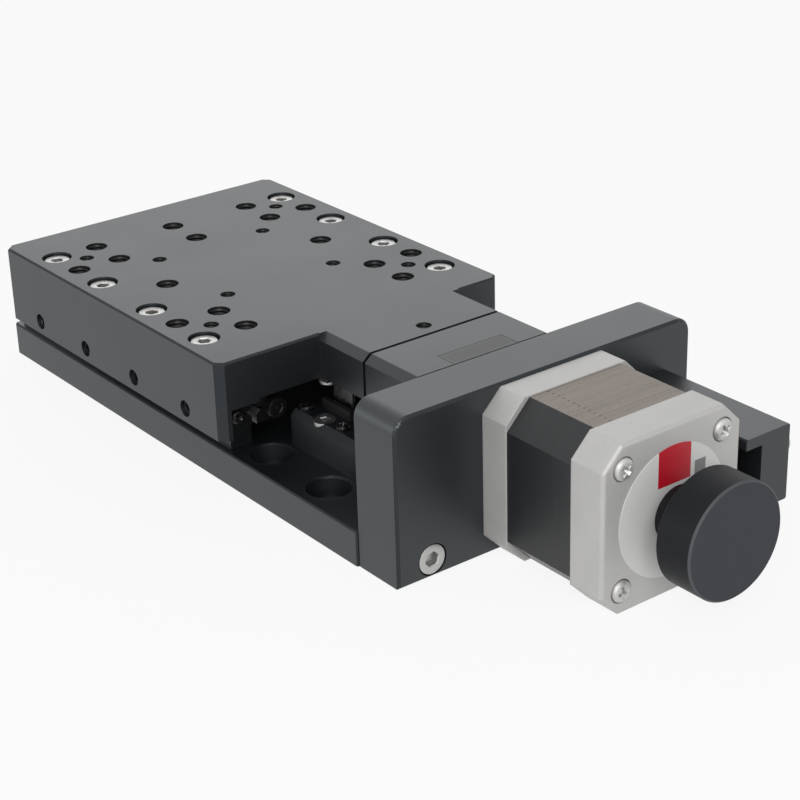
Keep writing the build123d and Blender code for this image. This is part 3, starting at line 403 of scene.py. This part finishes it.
# plain metals and plastics: name, darkest, lightest, roughness
slotMaterials = {
    "black_anodised": blackAnodised(),
    "stainless_screws": stainlessScrews(),
    "black_steel_screws": blackSteelScrews(),
    "rail_steel": railSteel(),
    "cage_brass": plainMetal("cageBrass", (0.45, 0.33, 0.13), (0.62, 0.47, 0.2), 0.35),
    "nut_bronze": plainMetal("nutBronze", (0.42, 0.27, 0.1), (0.58, 0.4, 0.18), 0.35),
    "bearing_steel": plainMetal("bearingSteel", (0.5, 0.5, 0.51), (0.64, 0.64, 0.65), 0.2),
    "lead_screw_steel": plainMetal("leadScrewSteel", (0.42, 0.42, 0.42), (0.58, 0.575, 0.57), 0.26),
    "coupling_aluminium": plainMetal("couplingAluminium", (0.58, 0.58, 0.59), (0.72, 0.72, 0.73), 0.32),
    "coupling_plastic": plainPlastic("couplingPlastic", (0.015, 0.015, 0.015), (0.03, 0.03, 0.03), 0.45),
    "motor_end_castings": castAluminium(),
    "motor_laminations": statorStack(),
    "motor_label": motorLabelFilm(),
    "name_plate": namePlateFilm(),
    "knob_black": knobAnodised(),
    "connector_plastic": plainPlastic("connectorPlastic", (0.009, 0.009, 0.01), (0.016, 0.016, 0.017), 0.42),
    "connector_gold": plainMetal("connectorGold", (0.72, 0.48, 0.16), (0.83, 0.6, 0.24), 0.22),
    "flag_steel": plainMetal("flagSteel", (0.36, 0.36, 0.36), (0.5, 0.5, 0.5), 0.3),
}
print("materials made:", len(slotMaterials))

nodeSlots = {}
for part in frame["record"]["subparts"]:
    nodeSlots[part["node"]] = part["material_slot"]
    mesh = frame["nodes"][part["node"]].data
    mesh.materials.clear()
    mesh.materials.append(slotMaterials[part["material_slot"]])
print("materials given to the nodes")

bodies = frame["record"]["behaviour"]["bodies"]
nodeBodies = {node: body for body, nodes in bodies.items() for node in nodes}
sharpFrom = math.radians(34)


def addPiece(name, mesh, node, replace, finish=None):
    # a finished bmesh becomes one piece that rides and, unless told otherwise, is painted as its CAD node is
    slot = nodeSlots[node]
    data = bpy.data.meshes.new(name)
    mesh.to_mesh(data)
    mesh.free()
    for face in data.polygons:
        face.use_smooth = True
    data.set_sharp_from_angle(angle=sharpFrom)
    data.materials.append(finish or slotMaterials[slot])
    piece = bpy.data.objects.new(name, data)
    bpy.context.scene.collection.objects.link(piece)
    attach(piece, nodeBodies[node])
    if replace:
        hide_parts(node)


def ring(mesh, height, radius, segments, place):
    # points round the local z axis; the radius is a number or follows the angle
    row = []
    for i in range(segments):
        angle = 2 * math.pi * i / segments
        r = radius(angle) if callable(radius) else radius
        row.append(mesh.verts.new(place @ Vector((r * math.cos(angle), r * math.sin(angle), height))))
    return row


def skin(mesh, low, high, inward):
    # the faces between two rings
    count = len(low)
    for i in range(count):
        after = (i + 1) % count
        face = (low[i], low[after], high[after], high[i])
        mesh.faces.new(face[::-1] if inward else face)


def turned(mesh, rings, segments, place):
    # lathe work from rings of (height, radius), where a radius may follow the angle; the ends are closed flat
    rows = [ring(mesh, height, radius, segments, place) for height, radius in rings]
    for low, high in zip(rows, rows[1:]):
        skin(mesh, low, high, False)
    mesh.faces.new(list(reversed(rows[0])))
    mesh.faces.new(rows[-1])


def hexagon(apothem):
    return lambda angle: apothem / math.cos(angle % (math.pi / 3) - math.pi / 6)


def cross(reach, halfWidth):
    # the outline of a cross recess, as radius by angle
    def radius(angle):
        turn = angle % (math.pi / 2)
        turn = min(turn, math.pi / 2 - turn)
        if math.tan(turn) < halfWidth / reach:
            return reach / math.cos(turn)
        return halfWidth / math.sin(turn)
    return radius


# shares of the shank's radius
shankEnd = {"tip": 0.8, "taper": 0.25}
# shares of the socket's apothem
socketCut = {"drill": 0.8, "coneDeep": 0.3, "coneTip": 0.1}
# shares of the head's radius, or of its height for socketDeep; foot, side and rounding are in soft edges, and
# rounding goes down from the top and in from the side
capHead = {"segments": 72, "knurls": 36, "knurlIn": 0.975, "soft": 0.07, "seat": 0.96, "foot": 0.4,
           "side": 1.4, "shoulder": 0.985, "rounding": ((0.3, 0.5), (0.0, 1.2)), "socket": 0.43,
           "socketMouth": 1.12, "socketDeep": 0.55}
# shares of the head's radius and height; mouth and bottom widen or narrow the recess's reach and width
panHead = {"segments": 64, "reach": 0.56, "wide": 0.17, "deep": 0.62, "mouth": (1.06, 1.15),
           "mouthFoot": 0.96, "bottom": (0.5, 0.8),
           "dome": ((0, 0.97), (0.08, 1), (0.42, 1), (0.66, 0.965), (0.84, 0.88), (0.95, 0.76))}
# shares of the screw's radius, or of its length for deepest
grub = {"segments": 72, "tip": 0.7, "soft": 0.12, "socket": 0.5, "socketMouth": 1.1, "deep": 1.6 * mm,
        "deepest": 0.6}


def knurled(radius):
    # every other point of the rim is a groove
    def wavy(angle):
        step = round(angle * capHead["segments"] / (2 * math.pi))
        return radius * (1 if step % (capHead["segments"] // capHead["knurls"]) else capHead["knurlIn"])
    return wavy


def shankRings(shank, length):
    return [(-length, shankEnd["tip"] * shank), (-length + shankEnd["taper"] * shank, shank), (0, shank)]


def socketRings(top, soft, floor, apothem, mouth):
    # a hexagon socket from its mouth down to the cone that the drill left
    return [(top, hexagon(mouth * apothem)), (top - soft, hexagon(apothem)), (floor, hexagon(apothem)),
            (floor, socketCut["drill"] * apothem),
            (floor - socketCut["coneDeep"] * apothem, socketCut["coneTip"] * apothem)]


def capRings(head, height, shank, length):
    soft = capHead["soft"] * head
    side = knurled(head)
    rounding = [(height - down * soft, head - inwards * soft) for down, inwards in capHead["rounding"]]
    floor = height * (1 - capHead["socketDeep"])
    return [*shankRings(shank, length), (0, capHead["seat"] * head), (capHead["foot"] * soft, side),
            (height - capHead["side"] * soft, side), (height - soft, capHead["shoulder"] * head), *rounding,
            *socketRings(height, soft, floor, capHead["socket"] * head, capHead["socketMouth"])]


def panRings(head, height, shank, length):
    reach, wide = panHead["reach"] * head, panHead["wide"] * head
    dome = [(up * height, out * head) for up, out in panHead["dome"]]
    longer, wider = panHead["mouth"]
    shorter, narrower = panHead["bottom"]
    return [*shankRings(shank, length), *dome, (height, cross(longer * reach, wider * wide)),
            (height * panHead["mouthFoot"], cross(reach, wide)),
            (height * (1 - panHead["deep"]), cross(shorter * reach, narrower * wide))]


def grubRings(shank, length):
    soft = grub["soft"] * shank
    floor = -min(grub["deep"], grub["deepest"] * length)
    return [(-length, grub["tip"] * shank), (-length + soft, shank), (-soft, shank), (0, shank - soft),
            *socketRings(0, soft, floor, grub["socket"] * shank, grub["socketMouth"])]


weldWithin = 0.001 * mm


def islands(node):
    # the separate solids of a node, each as its list of points
    mesh = bmesh.new()
    mesh.from_mesh(frame["nodes"][node].data)
    bmesh.ops.remove_doubles(mesh, verts=mesh.verts, dist=weldWithin)
    seen, found = set(), []
    for start in mesh.verts:
        if start in seen:
            continue
        seen.add(start)
        group, front = [], [start]
        while front:
            vert = front.pop()
            group.append(vert.co.copy())
            for edge in vert.link_edges:
                other = edge.other_vert(vert)
                if other not in seen:
                    seen.add(other)
                    front.append(other)
        found.append(group)
    mesh.free()
    return found


def lookingAlong(axis, sign, centre):
    # a place at the centre whose own z points along the axis, forwards or back
    out = Vector([sign if i == axis else 0 for i in range(3)])
    return Matrix.Translation(centre) @ out.to_track_quat("Z", "Y").to_matrix().to_4x4()


headWider = 1.05  # what is wider than the shank by this much belongs to the head


def readScrew(points, axis):
    # where a plain CAD screw sits and its sizes; its head is the wider end
    first, second = [i for i in range(3) if i != axis]
    middle = [(min(p[i] for p in points) + max(p[i] for p in points)) / 2 for i in range(3)]
    reach = {}  # the widest radius at each height, by the height in millimetres
    for p in points:
        height = round(p[axis] / mm, 3)
        aside = math.hypot(p[first] - middle[first], p[second] - middle[second])
        reach[height] = max(reach.get(height, 0), aside)
    levels = sorted(reach)
    sign = 1 if reach[levels[-1]] >= reach[levels[0]] else -1
    levels = levels[::sign]
    head, shank = reach[levels[-1]], reach[levels[0]]
    seat = levels[-1]
    if head > headWider * shank:
        seat = next(level for level in levels if reach[level] > headWider * shank)
    centre = Vector(middle)
    centre[axis] = seat * mm
    return {"place": lookingAlong(axis, sign, centre), "head": head, "shank": shank,
            "height": abs(levels[-1] - seat) * mm, "length": abs(seat - levels[0]) * mm}


# node: (drive, axis it lies along)
screwKinds = {"table_screws": ("cap", 2), "bracket_screws": ("cap", 0), "motor_bolts": ("pan", 0),
              "inner_rail_screws": ("cap", 2), "inner_rail_end_screws": ("cap", 0),
              "outer_rail_end_screws": ("pan", 0), "limit_block_screws": ("cap", 2),
              "limit_cover_screws": ("pan", 2), "end_block_screws": ("pan", 2),
              "connector_box_side_screws": ("pan", 1), "connector_box_mount_screws": ("cap", 0),
              "nut_holder_screws": ("cap", 2), "limit_flag_screw": ("cap", 2)}
drives = {"cap": (capRings, capHead["segments"]), "pan": (panRings, panHead["segments"])}
screwRise = {"table_screws": 0.5 * mm}  # these heads nearly reach the top of their counterbores
screwTurn = {"first": 11, "step": 37, "grubStep": 23}  # degrees, as each screw was left at its own angle
motorBolts = plainMetal("satinZinc", (0.5, 0.497, 0.49), (0.62, 0.617, 0.61), 0.6)


def makeScrews():
    for node, (drive, axis) in screwKinds.items():
        drivenRings, segments = drives[drive]
        mesh = bmesh.new()
        for index, points in enumerate(islands(node)):
            found = readScrew(points, axis)
            turn = Matrix.Rotation(math.radians(screwTurn["step"] * index + screwTurn["first"]), 4, "Z")
            height = found["height"] + screwRise.get(node, 0)
            rings = drivenRings(found["head"], height, found["shank"], found["length"])
            turned(mesh, rings, segments, found["place"] @ turn)
        addPiece(node + "_detailed", mesh, node, True, motorBolts if node == "motor_bolts" else None)


# node: (axis, the way its socket faces)
grubKinds = {"preload_screws": (1, -1), "knob_set_screw": (2, 1)}


def makeGrubScrews():
    for node, (axis, sign) in grubKinds.items():
        mesh = bmesh.new()
        for index, points in enumerate(islands(node)):
            low = Vector([min(p[i] for p in points) for i in range(3)])
            high = Vector([max(p[i] for p in points) for i in range(3)])
            top = (low + high) / 2
            top[axis] = high[axis] if sign > 0 else low[axis]
            turn = Matrix.Rotation(math.radians(screwTurn["grubStep"] * index), 4, "Z")
            rings = grubRings((high - low)[0] / 2, (high - low)[axis])
            turned(mesh, rings, grub["segments"], lookingAlong(axis, sign, top) @ turn)
        addPiece(node + "_detailed", mesh, node, True)


makeScrews()
makeGrubScrews()
print("screws made")

stepsPerTurn = 4


def threadWave(angle, height, pitch):
    # 0 at the root and 1 at the crest of a right-hand thread
    phase = (height / pitch - angle / (2 * math.pi)) % 1
    return 1 - abs(2 * phase - 1)


def threadRows(mesh, start, end, pitch, radiusAt, segments, place):
    count = max(2, round((end - start) / pitch * stepsPerTurn))
    heights = [start + (end - start) * j / count for j in range(count + 1)]
    return [ring(mesh, height, lambda angle: radiusAt(angle, height), segments, place) for height in heights]


cut = {"dark": (0.002, 0.002, 0.0025), "light": (0.008, 0.008, 0.009), "grain": (3000, 2), "rough": 0.3,
       "roughByGrain": 0.15, "ior": 1.35, "edge": 0.05 * mm}


def threadPaintedShade():
    # the threads down in the tapped holes, coloured nearly black, darker than the anodised faces: painted
    # shade in the holes
    f = newFinish("threadPaintedShade")
    grain = f.noise(*cut["grain"])
    return f.surface(Base_Color=f.mix(grain, rgb(*cut["dark"]), rgb(*cut["light"])),
                     Roughness=cut["rough"] + grain * cut["roughByGrain"], IOR=cut["ior"],
                     Normal=f.softEdge(cut["edge"]))


# the sleeve keeps wall inside the bore; its thread starts mouth below the face and shallow under the wall
tap = {"segments": 28, "mouth": 0.35 * mm, "wall": 0.01 * mm, "shallow": 0.02 * mm, "foot": 0.2 * mm,
       "deep": 10.0 * mm}
tappedHoles = {
    "m6": {"radius": 3.0 * mm, "minor": 2.52 * mm, "pitch": 1.0 * mm},
    "m4": {"radius": 2.0 * mm, "minor": 1.66 * mm, "pitch": 0.7 * mm}}
grid = 12.5 * mm
# columns and rows of the grid, counted from the table's middle
m6Rings = ((2, 2), (3, 2), (2, 3))
m6Places = [(i, j) for wide, long in m6Rings for i in (-wide, wide) for j in (-long, long)]
m6Places += [(-3, 0), (-2, 0), (0, -2), (0, 2)]
m4Reaches = (17.0 * mm, 31.5 * mm)
tongueHole = (67.4 * mm, 8.5 * mm)


def tapThread(mesh, x, y, top, size):
    # a thin threaded sleeve that lines one tapped hole
    place = Matrix.Translation((x, y, top))
    outer = size["radius"] - tap["wall"]
    deep = size["radius"] - size["minor"] - tap["wall"]

    def inside(angle, height):
        # the first turn runs out into the mouth
        fade = max(0, min(1, (-tap["mouth"] - height) / size["pitch"]))
        ridge = (deep - tap["shallow"]) * threadWave(angle, height, size["pitch"]) * fade
        return outer - tap["shallow"] - ridge

    start, end = tap["foot"] - tap["deep"], -tap["mouth"]
    rows = threadRows(mesh, start, end, size["pitch"], inside, tap["segments"], place)
    walls = threadRows(mesh, start, end, end - start, lambda angle, height: outer, tap["segments"], place)
    for low, high in zip(rows, rows[1:]):
        skin(mesh, low, high, True)
    for low, high in zip(walls, walls[1:]):
        skin(mesh, low, high, False)
    skin(mesh, rows[-1], walls[-1], True)
    skin(mesh, walls[0], rows[0], True)


def makeTapThreads():
    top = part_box("carriage_table")[1].z
    mesh = bmesh.new()
    for i, j in m6Places:
        tapThread(mesh, i * grid, j * grid, top, tappedHoles["m6"])
    for reach in m4Reaches:
        for x in (-reach, reach):
            for y in (-reach, reach):
                tapThread(mesh, x, y, top, tappedHoles["m4"])
    tapThread(mesh, *tongueHole, top, tappedHoles["m4"])
    addPiece("tapped_threads", mesh, "carriage_table", False, threadPaintedShade())


ringTone = {"dark": (0.12, 0.12, 0.125), "light": (0.3, 0.3, 0.31), "grain": (2600, 2), "metal": 0.9,
          "rough": 0.3, "roughByGrain": 0.1}


def lighterMetalRing():
    f = newFinish("footHoleLighterRing")
    grain = f.noise(*ringTone["grain"])
    tone = f.mix(grain, rgb(*ringTone["dark"]), rgb(*ringTone["light"]))
    rough = ringTone["rough"] + grain * ringTone["roughByGrain"]
    return f.surface(Base_Color=tone, Metallic=ringTone["metal"], Roughness=rough)


# the profile's points go out from the bore's wall and up from the base's face
footHoles = {"x": (-68 * mm, 43 * mm, 68 * mm), "y": 23 * mm, "top": 9.5 * mm, "radius": 6.0 * mm,
             "segments": 48, "profile": ((-0.02 * mm, -0.35 * mm), (0.28 * mm, 0.015 * mm), (0.34 * mm, 0.0),
                                         (0.1 * mm, -0.45 * mm))}


def makeFootHoleEdges():
    # a fine ring of lighter metal round the mouth of each foot hole
    mesh = bmesh.new()
    for x in footHoles["x"]:
        for y in (-footHoles["y"], footHoles["y"]):
            place = Matrix.Translation((x, y, 0))
            rows = [ring(mesh, footHoles["top"] + up, footHoles["radius"] + out, footHoles["segments"], place)
                    for out, up in footHoles["profile"]]
            for low, high in zip(rows, rows[1:] + rows[:1]):
                skin(mesh, low, high, False)
    addPiece("foot_hole_edges", mesh, "base", False, lighterMetalRing())


leadThread = {"pitch": 2.0 * mm, "deep": 1.0 * mm, "segments": 32, "crest": 0.45}


def makeLeadScrew():
    # the CAD rod's own steps are kept, and the thick length between them gets its thread
    low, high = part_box("lead_screw")
    centre = (low + high) / 2
    radii = {}  # the radii found at each step along the rod, in millimetres
    for p in islands("lead_screw")[0]:
        aside = math.hypot(p.y - centre.y, p.z - centre.z)
        radii.setdefault(round(p.x / mm, 2), set()).add(round(aside / mm, 1))
    widest = max(max(found) for found in radii.values())
    steps = sorted(radii)
    thick = [x for x in steps if widest in radii[x]]
    start, end = thick[0] * mm, thick[-1] * mm
    crest = widest * mm

    def outside(angle, height):
        # the crests are flat, and the thread runs out over its first and last turn
        wave = min(1, threadWave(angle, height, leadThread["pitch"]) / (1 - leadThread["crest"]))
        ends = min(1, (height - start) / leadThread["pitch"], (end - height) / leadThread["pitch"])
        return crest - leadThread["deep"] * (1 - wave * max(0, ends))

    place = Matrix.Translation((0, centre.y, centre.z)) @ Matrix.Rotation(math.pi / 2, 4, "Y")
    mesh = bmesh.new()
    segments = leadThread["segments"]
    rows = threadRows(mesh, start, end, leadThread["pitch"], outside, segments, place)
    before = [(x * mm, min(radii[x]) * mm) for x in steps if x * mm < start]
    before += [(start, min(radii[thick[0]]) * mm)]
    after = [(end, min(radii[thick[-1]]) * mm)]
    for x in (x for x in steps if x * mm > end):
        after += [(x * mm, r * mm) for r in sorted(radii[x], reverse=True)]
    beforeRows = [ring(mesh, x, r, segments, place) for x, r in before]
    rows = beforeRows + rows + [ring(mesh, x, r, segments, place) for x, r in after]
    for lowRow, highRow in zip(rows, rows[1:]):
        skin(mesh, lowRow, highRow, False)
    mesh.faces.new(list(reversed(rows[0])))
    mesh.faces.new(rows[-1])
    addPiece("lead_screw_threaded", mesh, "lead_screw", True)


makeTapThreads()
makeFootHoleEdges()
makeLeadScrew()
print("threads cut")

# angles in degrees, lens and sensor in millimetres
view = {"azimuth": 53.072, "elevation": 24.909, "roll": -1.762, "distance": 539.51 * mm, "lens": 90.61,
        "sensor": 36, "target": (43.681 * mm, 18.150 * mm, 12.363 * mm), "clip": (0.01, 50)}


def makeCamera():
    azimuth, elevation, roll = (math.radians(view[key]) for key in ("azimuth", "elevation", "roll"))
    back = Vector((math.sin(azimuth) * math.cos(elevation), -math.cos(azimuth) * math.cos(elevation),
                   math.sin(elevation)))
    right = Vector((math.cos(azimuth), math.sin(azimuth), 0))
    up = back.cross(right)
    tiltedRight = right * math.cos(roll) + up * math.sin(roll)
    tiltedUp = up * math.cos(roll) - right * math.sin(roll)
    data = bpy.data.cameras.new("camera")
    data.lens = view["lens"]
    data.sensor_width = view["sensor"]
    data.clip_start, data.clip_end = view["clip"]
    camera = bpy.data.objects.new("camera", data)
    bpy.context.scene.collection.objects.link(camera)
    turn = Matrix((tiltedRight, tiltedUp, back)).transposed().to_4x4()
    camera.matrix_world = Matrix.Translation(Vector(view["target"]) + back * view["distance"]) @ turn
    bpy.context.scene.camera = camera


makeCamera()
print("camera placed")

studio = {"floorSize": 6.0, "floorDrop": 0.2 * mm, "floorTone": 0.86, "shadowShare": 0.12, "sky": 0.42}
# name: (place, aimed at, width, height, watts)
lamps = {"overheadSoftbox": ((0.92, -0.66, 0.72), (0.03, 0.01, 0.02), 0.7, 0.7, 9.0),
         "backSoftbox": ((-0.95, 0.75, 0.62), (0.0, 0.0, 0.02), 1.1, 0.8, 2.2),
         "sideSoftbox": ((-0.75, -1.0, 0.16), (0.0, -0.03, 0.02), 0.9, 0.5, 2.4)}


def makeLamp(name, place, aim, width, height, watts):
    data = bpy.data.lights.new(name, "AREA")
    data.shape = "RECTANGLE"
    data.size, data.size_y = width, height
    data.energy = watts
    lamp = bpy.data.objects.new(name, data)
    bpy.context.scene.collection.objects.link(lamp)
    lamp.location = place
    lamp.rotation_euler = (Vector(aim) - Vector(place)).to_track_quat("-Z", "Y").to_euler()
    lamp.visible_camera = False


def seenDirectly(f):
    # camera, glossy and transmission rays all see the white background
    return f.clamp(sum(f.node("ShaderNodeLightPath", out=kind)
                       for kind in ("Is Camera Ray", "Is Glossy Ray", "Is Transmission Ray")))


def makeFloor():
    mesh = bpy.data.meshes.new("studioFloor")
    half = studio["floorSize"] / 2
    corners = [(-half, -half), (half, -half), (half, half), (-half, half)]
    mesh.from_pydata([(x, y, -studio["floorDrop"]) for x, y in corners], [], [(0, 1, 2, 3)])
    floor = bpy.data.objects.new("studioFloor", mesh)
    bpy.context.scene.collection.objects.link(floor)
    f = newFinish("studioWhite")
    tone = studio["floorTone"]
    matte = f.node("ShaderNodeBsdfDiffuse", inputs={"Color": rgb(tone, tone, tone)})
    glow = f.node("ShaderNodeEmission", inputs={"Color": rgb(1, 1, 1), "Strength": 1.0})
    share = seenDirectly(f) * (1 - studio["shadowShare"])
    surface = f.node("ShaderNodeMixShader", inputs={0: share, 1: matte, 2: glow})
    f.node("ShaderNodeOutputMaterial", inputs={"Surface": surface})
    mesh.materials.append(f.owner)


def makeSky():
    world = bpy.data.worlds.new("studioSky")
    bpy.context.scene.world = world
    f = Finish(world)
    direct = seenDirectly(f)
    sky = f.node("ShaderNodeBackground", inputs={"Color": rgb(1, 1, 1),
                                                 "Strength": direct + (1 - direct) * studio["sky"]})
    f.node("ShaderNodeOutputWorld", inputs={"Surface": sky})


makeFloor()
makeSky()
for name, lamp in lamps.items():
    makeLamp(name, *lamp)
bpy.context.scene.view_settings.view_transform = "Standard"
print("studio lit")
